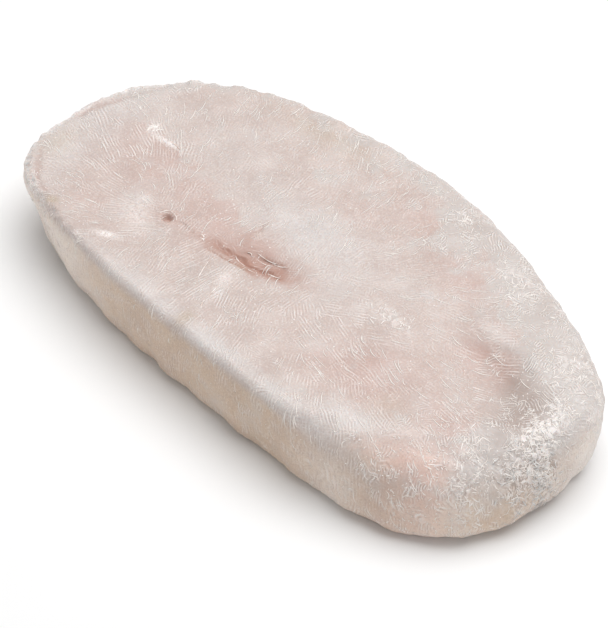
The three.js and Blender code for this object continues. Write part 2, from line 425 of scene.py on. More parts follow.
    def foot(self, angle: Array, step: float) -> Array:
        """Points of the bottom edge, a rounded chamfer.

        Args:
            angle: Angles round the steak.
            step: 0 at the wall's foot, 1 on the underside.

        Returns:
            An (n, 3) array of points.
        """
        points = self.wall(angle, 1.0)
        turn = step * math.pi / 2.0
        reach = np.hypot(points[:, 0], points[:, 1])
        shrink = 1.0 - self.base_edge / reach * (0.4 * (1.0 - math.cos(turn)) + 0.6 * step)
        z = self.base_edge * (1.0 - (0.4 * math.sin(turn) + 0.6 * step))
        return np.stack([points[:, 0] * shrink, points[:, 1] * shrink, np.full_like(reach, z)], axis=1)

    def offset(self, box: tuple[Vector, Vector]) -> Array:
        """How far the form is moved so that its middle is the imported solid's.

        Args:
            box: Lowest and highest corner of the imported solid, in metres.

        Returns:
            The move as (x, y, z).
        """
        angle = np.linspace(-math.pi, math.pi, 720, endpoint=False)
        points = np.vstack([self.edge(angle, 1.0)] + [self.wall(angle, step / 5) for step in range(1, 6)])
        own = 0.5 * (points.min(axis=0) + points.max(axis=0))
        cad = 0.5 * (np.array(box[0]) + np.array(box[1])) / MM
        return np.array([cad[0] - own[0], cad[1] - own[1], 0.0])


# ---- Nodes ----


class NodeBuilder:
    """Adds nodes to a shader or geometry tree and wires them up."""

    def __init__(self, tree: bpy.types.NodeTree) -> None:
        """Keeps the tree to work in."""
        self.tree = tree

    def add(self, kind: str, inputs: dict | None = None, **settings: object) -> bpy.types.Node:
        """Adds one node, with its settings and inputs.

        Args:
            kind: Blender's name of the node type.
            inputs: Input name or number to a value or to a socket that feeds it.
            **settings: Properties of the node.

        Returns:
            The new node.
        """
        node = self.tree.nodes.new(kind)
        for name, value in settings.items():
            setattr(node, name, value)
        for key, value in (inputs or {}).items():
            if isinstance(value, Socket):
                self.tree.links.new(value, node.inputs[key])
            else:
                node.inputs[key].default_value = value
        return node

    def first(self, kind: str, inputs: dict | None = None, **settings: object) -> Socket:
        """Adds one node, as add() does, and gives its first output."""
        return self.add(kind, inputs, **settings).outputs[0]

    def math(self, operation: str, *values: float | Socket, clamp: bool = False) -> Socket:
        """The result of a Math node with one to three operands."""
        return self.first("ShaderNodeMath", dict(enumerate(values)), operation=operation, use_clamp=clamp)

    def times(self, a: float | Socket, b: float | Socket) -> Socket:
        """The product of two numbers."""
        return self.math("MULTIPLY", a, b)

    def vector(self, operation: str, *values: object) -> Socket:
        """The vector that comes out of a Vector Math node."""
        return self.first("ShaderNodeVectorMath", dict(enumerate(values)), operation=operation)

    def scaled(self, vector: Socket | Triple, factor: float | Socket) -> Socket:
        """A vector times a number."""
        return self.first("ShaderNodeVectorMath", {0: vector, "Scale": factor}, operation="SCALE")

    def dot(self, a: Socket, b: Socket | Triple) -> Socket:
        """The dot product of two vectors."""
        return self.add("ShaderNodeVectorMath", {0: a, 1: b}, operation="DOT_PRODUCT").outputs["Value"]

    def step(self, value: Socket, low: float, high: float) -> Socket:
        """A smooth step from 0 at low to 1 at high."""
        inputs = {"Value": value, "From Min": low, "From Max": high}
        return self.first("ShaderNodeMapRange", inputs, interpolation_type="SMOOTHSTEP")

    def noise(self, vector: Socket, scale: float, detail: float = 2.0, rough: float = 0.5) -> Socket:
        """A noise pattern of so many spots to the millimetre, about 0 to 1."""
        inputs = {"Vector": vector, "Scale": scale, "Detail": detail, "Roughness": rough}
        return self.first("ShaderNodeTexNoise", inputs)

    def mask(self, name: str) -> Socket:
        """One of the skin's masks, in a shader tree."""
        return self.add("ShaderNodeAttribute", attribute_name=name).outputs["Fac"]

    def field(self, name: str) -> Socket:
        """A number kept at each point, in a geometry tree."""
        return self.first("GeometryNodeInputNamedAttribute", {"Name": name}, data_type="FLOAT")

    def place(self) -> Socket:
        """Each point's place in millimetres, in a geometry tree."""
        return self.scaled(self.first("GeometryNodeInputPosition"), 1.0 / MM)

    def object_place(self) -> Socket:
        """The place on the object in millimetres, in a shader tree."""
        return self.scaled(self.add("ShaderNodeTexCoord").outputs["Object"], 1.0 / MM)

    def mix(self, share: Socket, first: Socket | Colour, second: Socket | Colour) -> Socket:
        """A mix of two colours, the first where the share is 0."""
        first, second = ((*c, 1.0) if isinstance(c, tuple) else c for c in (first, second))
        return self.add("ShaderNodeMix", {0: share, 6: first, 7: second}, data_type="RGBA").outputs[2]

    def paint(self, colour: Socket | Colour, *layers: tuple[Socket, object, Socket | Colour]) -> Socket:
        """Lays tints over a colour, one after another.

        Args:
            colour: The ground.
            *layers: For each tint its mask, the mask's weight (number or socket), and the tint.

        Returns:
            The painted colour's socket.
        """
        for mask, weight, tint in layers:
            colour = self.mix(self.times(mask, weight), colour, tint)
        return colour

    def surface(self, height: Socket, bump: Pair, inputs: dict) -> None:
        """Ends a shader tree in a bumpy Principled surface.

        Args:
            height: Height of the bumps, about 0 to 1.
            bump: Strength of the bumps, and their height in metres.
            inputs: Inputs of the Principled node.
        """
        normal = self.first("ShaderNodeBump", {"Height": height, "Strength": bump[0], "Distance": bump[1]})
        shader = self.first("ShaderNodeBsdfPrincipled", {"Normal": normal, **inputs})
        self.add("ShaderNodeOutputMaterial", {"Surface": shader})


def new_material(name: str) -> tuple[bpy.types.Material, NodeBuilder]:
    """Starts a material with an empty tree.

    Args:
        name: Name of the material.

    Returns:
        The material and its tree's builder.
    """
    material = bpy.data.materials.new(name)
    material.use_nodes = True
    material.node_tree.nodes.clear()
    return material, NodeBuilder(material.node_tree)


@dataclass(frozen=True)
class FrostGrain:
    """Strokes of ice, combed away from the seam in patches that each have their own slant."""

    patch: float = 7.0
    jagged: float = 2.6
    slant: float = 46.0
    spacing: float = 0.66
    width: float = 0.6
    length: float = 5.5
    shown: float = 0.52
    ramp: float = 0.62
    full_patches: float = 0.22
    waver: float = 0.55
    seed: float = 0.0
    seam_start: Triple = (-29.0, -14.0, 0.0)
    seam_end: Triple = (0.0, -9.0, 0.0)
    fan: Triple = (51.5, 3.5, 0.0)
    fan_reach: float = 12.0

    def shake(self, nodes: NodeBuilder, place: Socket, scale: float, reach: float) -> Socket:
        """A smooth random shift of a place.

        Args:
            nodes: Builder of the tree.
            place: Place in millimetres.
            scale: How fast the shift changes, per millimetre.
            reach: How far it goes.

        Returns:
            The shifted place's socket.
        """
        inputs = {"Vector": place, "Scale": scale, "Detail": 1.0}
        shift = nodes.add("ShaderNodeTexNoise", inputs).outputs["Color"]
        shift = nodes.scaled(nodes.vector("SUBTRACT", shift, (0.5, 0.5, 0.5)), 2.0 * reach)
        return nodes.vector("ADD", place, shift)

    def direction(self, nodes: NodeBuilder, place: Socket) -> tuple[Socket, Socket, Socket]:
        """The way the ice grows at a place: away from the seam or the dimple, slanted by patches.

        Args:
            nodes: Builder of the tree.
            place: Place in millimetres.

        Returns:
            The unit direction in plan, the patch's centre and its random number.
        """
        apart = (self.seed * 17.0, self.seed * 5.0, 0.0)
        shaken = nodes.vector("ADD", self.shake(nodes, place, 0.4, self.jagged), apart)
        cells = nodes.add("ShaderNodeTexVoronoi", {"Vector": shaken, "Scale": 1.0 / self.patch})
        centre = nodes.vector("SUBTRACT", cells.outputs["Position"], apart)
        chance = nodes.dot(cells.outputs["Color"], (1.0, 0.0, 0.0))

        seam = Vector(self.seam_end) - Vector(self.seam_start)
        from_start = nodes.vector("SUBTRACT", centre, self.seam_start)
        share = nodes.math("DIVIDE", nodes.dot(from_start, tuple(seam)), seam.length_squared)
        share = nodes.math("MAXIMUM", nodes.math("MINIMUM", share, 1.0), 0.0)
        foot = nodes.scaled(tuple(seam), share)
        away = nodes.vector("NORMALIZE", nodes.vector("SUBTRACT", from_start, foot))
        from_fan = nodes.vector("SUBTRACT", centre, self.fan)
        distance = nodes.math("SQRT", nodes.dot(from_fan, from_fan))
        near = nodes.step(distance, self.fan_reach + 3.0, self.fan_reach - 3.0)
        spread = nodes.scaled(nodes.vector("NORMALIZE", from_fan), nodes.times(near, 3.0))
        away = nodes.vector("MULTIPLY", nodes.vector("ADD", away, spread), (1.0, 1.0, 0.0))
        away = nodes.vector("NORMALIZE", away)
        lean = nodes.times(nodes.math("SUBTRACT", chance, 0.5), math.radians(self.slant))
        inputs = {"Vector": away, "Angle": lean}
        return nodes.first("ShaderNodeVectorRotate", inputs, rotation_type="Z_AXIS"), centre, chance

    def strokes(self, nodes: NodeBuilder, place: Socket) -> tuple[Socket, Socket]:
        """The strokes at a place: evenly combed thin lines, each broken into lengths of its own.

        Args:
            nodes: Builder of the tree.
            place: Place in millimetres.

        Returns:
            The strokes' crests and the troughs beside them, each 1 at its middle and 0 away from it.
        """
        away, centre, chance = self.direction(nodes, place)
        local = nodes.vector("SUBTRACT", self.shake(nodes, place, 0.22, self.waver), centre)
        sideways = nodes.vector("CROSS_PRODUCT", away, UP)
        along = nodes.dot(local, nodes.vector("SUBTRACT", away, UP))
        phase = nodes.math("DIVIDE", nodes.dot(local, sideways), self.spacing)
        number = nodes.math("FLOOR", phase)
        off_crest = nodes.math("ABSOLUTE", nodes.math("SUBTRACT", nodes.math("FRACT", phase), 0.5))
        own = nodes.math("ADD", nodes.times(number, 17.3), nodes.times(chance, 91.0))
        ends = nodes.math("ADD", nodes.math("DIVIDE", along, self.length), own)
        inputs = {"W": ends, "Scale": 1.0, "Detail": 0.0}
        ends = nodes.first("ShaderNodeTexNoise", inputs, noise_dimensions="1D")
        start = 1.0 - self.shown - 0.5 * self.ramp
        shown = nodes.step(ends, start, start + self.ramp)
        shown = nodes.times(shown, nodes.step(nodes.noise(place, 0.3), 0.34, 0.62))
        full = nodes.math("FRACT", nodes.times(chance, 7.0))
        full = nodes.step(full, self.full_patches - 0.05, self.full_patches + 0.05)
        shown = nodes.times(shown, full)
        crest, trough = nodes.step(off_crest, 0.5 * self.width, 0.04), nodes.step(off_crest, 0.3, 0.5)
        return nodes.times(crest, shown), nodes.times(trough, shown)


LONG_GRAIN = FrostGrain()
FINE_GRAIN = FrostGrain(patch=2.6, jagged=2.0, slant=170.0, spacing=0.56, length=1.8, waver=1.2, seed=1.0)
COMB_GRAIN = FrostGrain(patch=8.0, slant=30.0, spacing=1.7, width=0.95, length=5.0, ramp=0.26, seed=2.0)


# ---- Finishes ----


@dataclass(frozen=True)
class FleshFinish:
    """Frozen white fish under a thin icy glaze. Most tints are named after the mask they are laid on by."""

    name: str = "frozen_flesh"
    flesh: Colour = (0.61, 0.515, 0.475)
    rose: Colour = (0.58, 0.42, 0.375)
    pale: Colour = (0.67, 0.625, 0.605)
    wall: Colour = (0.72, 0.545, 0.405)
    # Painted light: lightens the walls at both ends, at the front and under the nose, which face away from
    # the key light.
    painted_wall_light: Colour = (0.97, 0.85, 0.75)
    # Pink of the nose's lower wall, made bright enough to be painted light where the nose slopes away into
    # shade.
    flush: Colour = (1.0, 0.68, 0.57)
    # Brown of the seam. The same tint is painted shade in the dimple's crease.
    seam: Colour = (0.47, 0.29, 0.24)
    split: Colour = (0.40, 0.19, 0.13)
    frost: Colour = (0.93, 0.87, 0.84)
    # Darker tone: random cloudy and grainy darkening, and painted shadow in the troughs beside the ice
    # strokes.
    dark_tone_and_shade: Colour = (0.47, 0.355, 0.32)
    # Painted shade: darkening in the dimple's hollow under its brow, and in the troughs of the icy strokes.
    painted_shade: Colour = (0.44, 0.36, 0.325)
    tan: Colour = (0.50, 0.41, 0.30)
    ice: Colour = (0.59, 0.55, 0.525)
    # Painted shade between the crystals at the right end.
    gap: Colour = (0.38, 0.30, 0.26)
    roughness: float = 0.46
    glaze: float = 0.15
    depth_m: float = 0.002
    bump: Pair = (0.6, 0.0001)

    def plain(self, nodes: NodeBuilder, *names: str) -> list[tuple[Socket, float, Colour]]:
        """Layers of paint for tints that are laid on wherever their mask is."""
        return [(nodes.mask(name), 1.0, getattr(self, name)) for name in names]

    def make(self) -> bpy.types.Material:
        """Builds the material.

        Returns:
            The finished material.
        """
        material, nodes = new_material(self.name)
        place = nodes.object_place()
        clouds = nodes.noise(place, 0.11, 3.0, 0.55)
        grain = nodes.noise(place, 2.6, 2.0, 0.6)
        uneven = LONG_GRAIN.shake(nodes, place, 1.2, 0.5)
        facets = nodes.add("ShaderNodeTexVoronoi", {"Vector": uneven, "Scale": 1.5}).outputs["Color"]
        facet = nodes.dot(facets, (1.0, 0.0, 0.0))
        bubbles = nodes.add("ShaderNodeTexVoronoi", {"Vector": place, "Scale": 1.3})
        chance = nodes.dot(bubbles.outputs["Color"], (0.0, 1.0, 0.0))
        chance = nodes.math("MULTIPLY_ADD", nodes.mask("bubbles"), 0.25, chance)
        bubble = nodes.step(bubbles.outputs["Distance"], 0.26, 0.12)
        bubble = nodes.times(bubble, nodes.step(chance, 0.88, 0.96))

        icy, painted_shade = nodes.mask("icy"), nodes.mask("painted_shade")
        clear = nodes.times(icy, nodes.math("MULTIPLY_ADD", grain, 0.7, 0.3))
        # Painted shade between the crystals, broken into facets.
        crystal_gap_shade = nodes.times(nodes.mask("gap"), nodes.step(facet, 0.34, 0.1))
        colour = nodes.paint(
            self.flesh,
            *self.plain(nodes, "wall", "painted_wall_light", "flush", "rose", "pale", "tan"),
            (nodes.step(clouds, 0.58, 0.34), 0.22, self.dark_tone_and_shade),
            (nodes.step(grain, 0.5, 0.3), 0.4, self.dark_tone_and_shade),
            (nodes.step(grain, 0.52, 0.7), 0.28, self.frost),
            (nodes.step(clouds, 0.50, 0.75), 0.4, self.pale),
            (clear, 1.0, self.ice),
            *self.plain(nodes, "painted_shade", "seam", "split"),
            (crystal_gap_shade, 1.0, self.gap),
        )

        long_share = nodes.times(nodes.mask("combed"), nodes.math("SUBTRACT", 1.0, icy))
        fine_share = nodes.math("MULTIPLY_ADD", nodes.mask("speckled"), 0.65, 0.35)
        strokes = zip(LONG_GRAIN.strokes(nodes, place), FINE_GRAIN.strokes(nodes, place))
        crests, troughs = (nodes.math("MAXIMUM", nodes.times(long, long_share), nodes.times(fine, fine_share))
                           for long, fine in strokes)
        specks = nodes.times(nodes.mask("frost"), nodes.step(facet, 0.45, 0.8))
        # Frost patches, and painted light on the left rim, both laid in the frost colour.
        rime_and_rim_light = nodes.times(nodes.mask("rime_and_rim_light"), nodes.step(grain, 0.25, 0.6))
        # Troughs beside the strokes are painted shadow. Crests are white ice strokes and also painted
        # highlight, weaker where painted shade lies.
        colour = nodes.paint(
            colour,
            (troughs, nodes.math("MULTIPLY_ADD", icy, 0.15, 0.85), nodes.mix(icy, self.dark_tone_and_shade, self.painted_shade)),
            (crests, nodes.math("MULTIPLY_ADD", painted_shade, -0.3, 0.95), self.frost),
            (nodes.math("ADD", specks, rime_and_rim_light, clamp=True), 1.0, self.frost),
            (bubble, 0.8, self.frost),
        )

        height = nodes.math("MULTIPLY_ADD", grain, 0.25, crests)
        height = nodes.math("MULTIPLY_ADD", troughs, -0.6, height)
        height = nodes.math("MULTIPLY_ADD", bubble, 0.6, height)
        nodes.surface(height, self.bump, {
            "Base Color": colour,
            "Roughness": nodes.math("MULTIPLY_ADD", grain, 0.2, self.roughness - 0.1),
            "Subsurface Weight": 0.25,
            "Subsurface Radius": (1.0, 0.7, 0.55),
            "Subsurface Scale": self.depth_m,
            "IOR": 1.38,
            "Coat Weight": self.glaze,
            "Coat Roughness": 0.20,
        })
        return material


@dataclass(frozen=True)
class IceFinish:
    """Frost or clear ice: white where it is full of air, glassy where it isn't. The darker shadow tone, laid
    by noise, is glassy ice and also painted shade of the crystals.
    """

    name: str
    colour: Colour
    # Glassy ice, and painted shade of the crystals, laid by noise.
    shadow: Colour
    roughness: float = 0.5
    mirror: float = 0.15
    clearness: float = 0.0
    bump: Pair = (0.3, 0.00002)

    def make(self) -> bpy.types.Material:
        """Builds the material.

        Returns:
            The finished material.
        """
        material, nodes = new_material(self.name)
        place = nodes.object_place()
        air = nodes.step(nodes.noise(place, 0.8), 0.35, 0.65)
        fine = nodes.noise(place, 5.0)
        nodes.surface(fine, self.bump, {
            "Base Color": nodes.mix(air, self.shadow, self.colour),
            "Roughness": nodes.math("MULTIPLY_ADD", fine, 0.2, self.roughness - 0.1),
            "IOR": 1.31,
            "Specular IOR Level": self.mirror,
            "Transmission Weight": self.clearness,
        })
        return material


NEEDLE_ICE = IceFinish("needle_ice", (1.0, 0.94, 0.89), (0.94, 0.86, 0.80))
CURL_ICE = IceFinish("curl_ice", (1.0, 0.95, 0.90), (0.94, 0.86, 0.80))
SEAM_FROST = IceFinish("seam_frost", (0.97, 0.91, 0.87), (0.74, 0.61, 0.55))
FROST = IceFinish("frost", (1.0, 0.95, 0.91), (0.90, 0.83, 0.78), 0.4, 0.3)
CLEAR_ICE = IceFinish("clear_ice", (0.96, 0.94, 0.92), (0.84, 0.79, 0.76), 0.15, 0.5, 0.25)


# ---- Meshes ----


def new_object(name: str, data: bpy.types.ID) -> Piece:
    """Puts a mesh, a light or a camera in the scene as an object at the origin.

    Args:
        name: Name of the object.
        data: Its mesh, light or camera.

    Returns:
        The new object.
    """
    piece = bpy.data.objects.new(name, data)
    bpy.context.scene.collection.objects.link(piece)
    return piece


def mesh_from(name: str, points: Array, faces: list) -> bpy.types.Mesh:
    """Makes a smooth mesh.

    Args:
        name: Name of the mesh.
        points: An (n, 3) array in millimetres.
        faces: Lists of point numbers.

    Returns:
        The new mesh, in metres.
    """
    mesh = bpy.data.meshes.new(name)
    mesh.from_pydata((points * MM).tolist(), [], faces)
    mesh.shade_smooth()
    mesh.update()
    return mesh


def vertex_normals(points: Array, quads: Array) -> Array:
    """Outward directions at the points of a skin of four-sided faces.

    Args:
        points: An (n, 3) array.
        quads: An (m, 4) array of point numbers.

    Returns:
        An (n, 3) array of unit directions.
    """
    a, b, c, d = (points[quads[:, i]] for i in range(4))
    face = np.cross(c - a, d - b)
    normal = np.zeros_like(points)
    for i in range(4):
        np.add.at(normal, quads[:, i], face)
    return normal / np.maximum(np.linalg.norm(normal, axis=1, keepdims=True), 1e-12)


def apply_nodes(piece: Piece, nodes: NodeBuilder, inputs: dict[str, object]) -> None:
    """Runs a Geometry Nodes tree on a piece and keeps what it makes as a plain mesh.

    Args:
        piece: Object to change.
        nodes: Builder of the finished tree.
        inputs: Values of the tree's inputs, found by their names.
    """
    modifier = piece.modifiers.new(nodes.tree.name, "NODES")
    modifier.node_group = nodes.tree
    for item in nodes.tree.interface.items_tree:
        if item.in_out == "INPUT" and item.name in inputs:
            modifier[item.identifier] = inputs[item.name]
    graph = bpy.context.evaluated_depsgraph_get()
    made = bpy.data.meshes.new_from_object(piece.evaluated_get(graph), preserve_all_data_layers=True,
                                           depsgraph=graph)
    piece.modifiers.clear()
    piece.data = made


def new_tree(name: str, inputs: dict[str, str]) -> tuple[NodeBuilder, bpy.types.NodeOutputs]:
    """Starts a Geometry Nodes tree that takes geometry and a finish, and gives geometry.

    Args:
        name: Name of the tree.
        inputs: Further inputs, name to kind of number.

    Returns:
        The tree's builder and its inputs' sockets.
    """
    tree = bpy.data.node_groups.new(name, "GeometryNodeTree")
    for label, kind in {"Geometry": "Geometry", **inputs, "Finish": "Material"}.items():
        tree.interface.new_socket(label, in_out="INPUT", socket_type="NodeSocket" + kind)
    tree.interface.new_socket("Geometry", in_out="OUTPUT", socket_type="NodeSocketGeometry")
    nodes = NodeBuilder(tree)
    return nodes, nodes.add("NodeGroupInput").outputs


def end_tree(nodes: NodeBuilder, shape: Socket, finish: Socket) -> NodeBuilder:
    """Ends a Geometry Nodes tree in Set Material.

    Args:
        nodes: Builder of the tree.
        shape: What the tree has made.
        finish: Its material.

    Returns:
        The finished tree's builder.
    """
    dressed = nodes.first("GeometryNodeSetMaterial", {"Geometry": shape, "Material": finish})
    nodes.add("NodeGroupOutput", {0: dressed})
    return nodes


# ---- The slab ----


@dataclass
class SteakSkin:
    """The skin of the slab, with its colours' masks and its fine relief."""

    form: SteakForm = field(default_factory=SteakForm)
    columns: int = 372
    rows: int = 186
    wall_rings: int = 20
    foot_rings: int = 4
    finish: FleshFinish = field(default_factory=FleshFinish)
    furrow_height: float = 0.05
    lumps: tuple[Unevenness, ...] = (Unevenness(9.0, 0.08, 3), Unevenness(3.4, 0.025, 4))
    wall_lumps: tuple[Unevenness, ...] = (
        Unevenness(2.2, 0.05, 5, (1.0, 1.0, 0.12)), Unevenness(8.0, 0.16, 6, (1.0, 1.0, 0.35)))
    crags: tuple[Unevenness, ...] = (Unevenness(2.8, 0.15, 7), Unevenness(1.5, 0.07, 10))
    ragged: tuple[Unevenness, ...] = (Unevenness(7.0, 0.2, 31), Unevenness(2.6, 0.1, 32))
    ice_height: float = 0.08
    ice_lumps: Unevenness = Unevenness(2.2, 0.03, 9)
    frost_lumps: Unevenness = Unevenness(1.6, 0.12, 8)
    crumbs: Unevenness = Unevenness(3.2, 0.5, 33)

    rose: Spots = (
        Border((-58, 0.5), (-40, 0.5), 17, 0.65),
        Border((-40, 0.5), (-16, -4.5), 13, 0.72),
    ) + spots(
        (-11, -8, 12, 4.5, 0.7, 12), (10, 22, 12, 5, 0.55, -12), (-2, 14, 9, 6, 0.3),
        (26, 16, 7, 5, 0.6, -10), (28, -11, 7, 5, 0.5), (50, -13.5, 6, 4.5, 0.9),
        (27, -17, 14, 7, 0.75, 6), (38, -5, 7, 10, 0.3), (43.5, 4.5, 8, 3.6, 1.0, -6),
        (-44, -24, 8, 4, 0.35), (52, -28, 9, 5, 0.6), (40, -34, 10, 4, 0.5, 10),
    )
    pale: Spots = spots(
        (-6, 4, 15, 6, 0.95, 6), (-34, 8, 14, 7, 0.25), (8, -4, 10, 6, 0.35),
        (35, -24.5, 11, 3.2, 0.85, 26), (45, 10.2, 9, 1.4, 0.55, -4), (-12, -31.5, 34, 2.4, 0.7),
        (20, -32, 24, 2.4, 0.8), (23, 8, 1.8, 1.4, 0.7), (64, 3, 7, 9, 0.8), (-63, -10, 9, 30, 0.8),
    )
    tan: Spots = spots(
        (-7.5, -30.8, 1.4, 2.2, 0.8), (-50.5, -28.3, 1.6, 0.9, 1.0, 10), (-22, 26, 12, 3.0, 0.35, 8),
        (37, -18, 4, 4, 0.25), (-62, -16, 3, 6, 0.35), (46, -29, 9, 3.0, 0.35, 8),
        (42, -34, 14, 5, 0.2, 10), (14, -35, 9, 4, 0.15), (-9.5, -13.0, 2.2, 1.2, 0.5, 20),
    )
    frost: Spots = spots(
        (62, 0, 3.0, 4.5), (60, 3.6, 2.2, 2.2, 0.6), (61.5, -4.5, 2.8, 2.6, 0.8),
        (65.9, -4.7, 2.4, 3.4, 0.8), (63.5, -10, 2.6, 2.6, 0.7), (56, -14, 6, 3, 0.3, -40),
        (-50.8, 1.0, 1.3, 1.5), (57.5, -20, 4.0, 2.4, 0.5), (21.5, -1.5, 4.5, 1.6, 0.6),
        (14, 29, 2.4, 2.0, 0.6), (34, 24, 6, 3, 0.4, -20), (56, 14, 4, 6, 0.4, 30),
    )
    rime_and_rim_light: Spots = spots(
        (-35.2, -18.4, 3.9, 2.7, 0.5, -20), (-37.4, -14.2, 1.6, 1.0, 0.5),
        (-35.3, -26.7, 2.1, 0.8, 1.2, 28), (-46, 0.2, 3.2, 0.6, 1.1, 8), (-8, -22, 1.0, 5, 0.35, 10),
        (-9.5, -18.0, 1.4, 1.8, 0.4), (62.5, 0, 2.0, 3.5, 0.3), (66, 11, 3, 7, 0.3),
    )
    seam: Spots = spots(
        (-7.5, -9.3, 9.5, 3.0, 0.75, 14), (-3.0, -9.2, 4.5, 2.6, 0.4, 16),
        (-5.5, -10.3, 3.6, 1.2, 0.75, 14), (-13.5, -12.4, 6.5, 1.3, 0.4, 9),
        (-17.5, -11.8, 7, 1.6, 0.4, 12), (-11.5, -6.4, 5.5, 1.8, 0.35, 6), (-14.0, -4.2, 1.0, 3.4, 0.4),
        # The last two spots darken the dimple's crease under its brow: painted shade.
        (-29.8, -14.6, 2.4, 1.9, 0.5), (42.0, 5.4, 5.0, 2.6, 0.5), (46.5, 4.0, 4.5, 2.6, 0.25, -20),
    )
    icy: Spots = spots(
        (14, 27, 8, 5, 0.9), (17, 20, 6, 5, 0.7), (40, 20, 14, 8, 1.1, -18), (57, 10, 10, 9, 1.1, -30),
        (63, -5, 9, 12, 1.1), (57, -11, 7, 7, 0.6), (54, -27, 14, 6, 0.6, 10), (20, -1.5, 5, 2.6, 0.5),
        (-4, 26, 5, 4, 0.4),
    )
    # Painted shade between the crystals at the right end.
    gap: Spots = spots(
        (65.9, -4.7, 2.6, 3.6, 0.9), (63.2, -10.2, 2.6, 2.6, 0.7), (62, 0, 3.0, 4.5, 0.3),
    )
    # Painted light on walls that face away from the key light.
    painted_wall_light: Spots = spots(
        (-46, -33, 13, 9), (-62, -22, 7, 12), (36, -31, 7, 6, 0.9), (53, -23, 10, 9, 0.7, -20),
        (67, 6, 5, 10),
    )
    # Pink tone, and painted light on the nose's shaded lower wall.
    flush: Spots = spots(
        (46.5, -26.5, 8, 5), (52, -22, 5, 4, 0.6),
    )
    # Painted shade, mostly in the dimple's hollow under its brow.
    painted_shade: Spots = spots(
        (54.5, 2.5, 5.5, 4.6, 1.0, -25), (57, -1, 4.5, 4, 0.6), (50, 4, 4, 3, 0.4, -30),
        (56.5, -6, 5, 4, 0.5), (16.6, 29.5, 5, 2.2, 0.35, -8), (41.5, 22.5, 4, 2.4, 0.25, -25),
    )
    chips: Spots = spots(
        (51, -18, 7, 5, 0.7, -30), (46, -26, 8, 5, 0.5), (57, -17, 6, 5, 0.9, -30), (59, -7, 4, 5, 0.6),
        (62, 0, 3.5, 5, 0.8), (-58, -26, 7, 5, 0.6), (-65, -12, 3, 9, 0.6),
    )
    shards: Spots = spots(
        (65.9, -4.7, 2.4, 3.4), (63.2, -10.2, 2.4, 2.6, 0.8), (62, 0, 2.5, 3.5, 0.25),
    )
    combed: Spots = spots(
        (-50, -7, 13, 10, 0.8), (-27, -20, 9, 6, 0.4), (-8, -22, 14, 9, 0.5), (14, -12, 12, 10, 0.6),
        (30, -26, 18, 8, 0.4), (-16, 12, 4, 9, 0.4), (50, -2, 12, 12, 0.7),
    )
    speckled: Spots = spots(
        (52, -22, 12, 9, 1.0, -20), (64, -10, 6, 10, 0.8), (10, -33, 40, 3.5, 0.35, 4),
        (-50, -30, 12, 10, 0.4),
    )
    bubbles: Spots = spots(
        (-27, -5, 9, 5), (-52, -18, 5, 5, 0.6), (54, -28, 9, 5), (12, -18, 30, 9, 0.4),
    )
    creases: tuple[Split, ...] = (
        Split((-65.1, -13.0), (-64.6, -4.5), (-58.0, 10.5), 1.5, 0.35, 0.35),
        Split((-48.8, -29.0), (-57.5, -25.8), (-64.2, -18.0), 1.3, 0.16, 0.32),
        Split((-14.5, -10.9), (-10.5, -9.7), (-6.5, -9.2), 0.7, 0.2, 0.35),
        Split((-9.0, -10.9), (-5.0, -10.1), (-1.2, -8.9), 0.9, 0.35, 0.7),
        Split((-8.5, -8.9), (-5.0, -8.3), (-1.6, -7.9), 0.6, 0.15, 0.3),
        Split((-13.7, -8.8), (-9.5, -8.3), (-5.5, -7.6), 0.5, 0.1, 0.35),
        Split((-12.6, -12.9), (-8.6, -12.9), (-4.7, -12.0), 0.5, 0.12, 0.6),
    )

    def disc(self) -> tuple[Array, Array]:
        """Grid points as angles and radii in the unit disc, evenly spread.

        Returns:
            The angles and the radii, row by row.
        """
        u, v = np.meshgrid(np.linspace(-1, 1, self.columns + 1), np.linspace(-1, 1, self.rows + 1))
        u, v = u.ravel(), v.ravel()
        safe_u = np.where(u == 0, 1.0, u)
        safe_v = np.where(v == 0, 1.0, v)
        flat = (math.pi / 4) * (v / safe_u) + np.where(u < 0, math.pi, 0.0)
        steep = math.pi / 2 - (math.pi / 4) * (u / safe_v) + np.where(v < 0, math.pi, 0.0)
        return np.where(np.abs(u) > np.abs(v), flat, steep), np.maximum(np.abs(u), np.abs(v))

    def top(self) -> tuple[Array, Array, Array]:
        """Points of the cut face and of the rounded edge round it.

        Returns:
            The points, how far out each one is, and its angle. How far out counts from minus its
            distance to the rim on the cut face, through 0 at the rim, to 1 at the wall's head.
        """
        angle, radius = self.disc()
        crest = self.form.edge(angle, 0.0)
        reach = np.hypot(crest[:, 0], crest[:, 1])
        inset, drop = self.form.rounding(*self.form.outline(angle))
        arc = math.pi / 2 * np.sqrt((inset**2 + drop**2) / 2)
        travel = radius * (reach + arc)
        inner = np.minimum(travel / reach, 1.0)
        x, y = crest[:, 0] * inner, crest[:, 1] * inner
        flat = np.stack([x, y, self.form.thickness + self.form.relief(x, y)], axis=1)
        down = np.clip((travel - reach) / arc, 0.0, 1.0)
        points = np.where((travel <= reach)[:, None], flat, self.form.edge(angle, down))
        x, y = points[:, 0], points[:, 1]
        carving = self.form.carving(x, y)
        u, v = self.form.shaken(x, y)
        for crease in self.creases:
            gap, fullness = crease.nearness(u, v)
            carving -= crease.depth * fullness * bell(gap, 0.5 * crease.width)
        points[:, 2] += carving * (1.0 - down)
        return points, np.where(down > 0, down, np.minimum(travel - reach, 0.0)), angle

